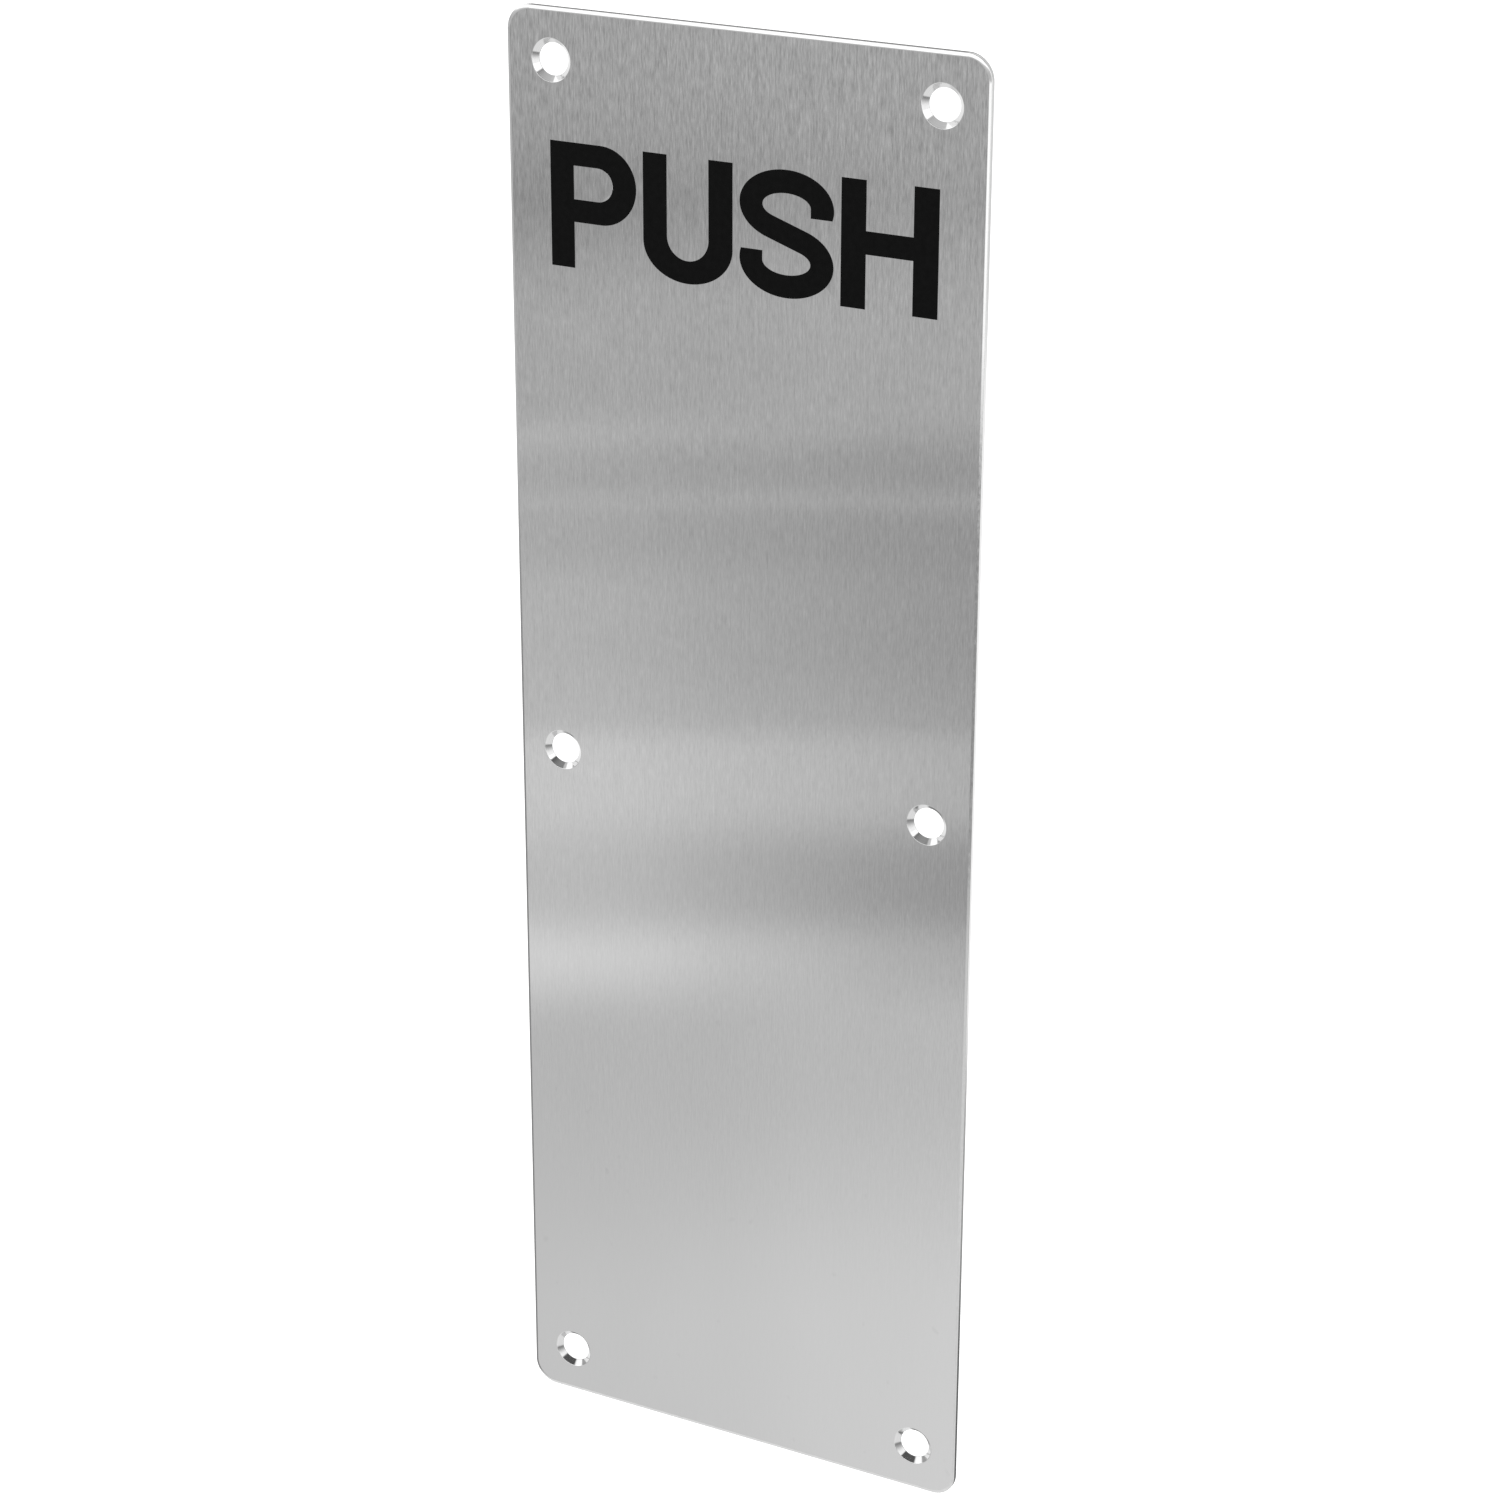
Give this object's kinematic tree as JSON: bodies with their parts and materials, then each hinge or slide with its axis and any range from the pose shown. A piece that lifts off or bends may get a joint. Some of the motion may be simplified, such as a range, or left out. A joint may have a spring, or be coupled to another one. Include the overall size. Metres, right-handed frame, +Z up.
{
  "type": "door finger plate",
  "caption": "Flat upright brushed-steel finger plate with rounded corners, countersunk screw holes and black push lettering, fixed to a door where hands push it.",
  "frame": {"origin": "centre of the back face, the face that lies against the door", "axes": "+Z up along the plate's length, +Y out of the back face into the door, -Y out of the front face, +X to the right seen from the front"},
  "size_m": [0.1, 0.0012, 0.3],
  "materials": {
    "brushed_steel": "satin, with fine upright brush lines",
    "black_enamel": "satin black enamel"
  },
  "bodies": {
    "root": {"finger_plate": "brushed_steel", "letter_infill": "black_enamel"}
  },
  "joints": []
}
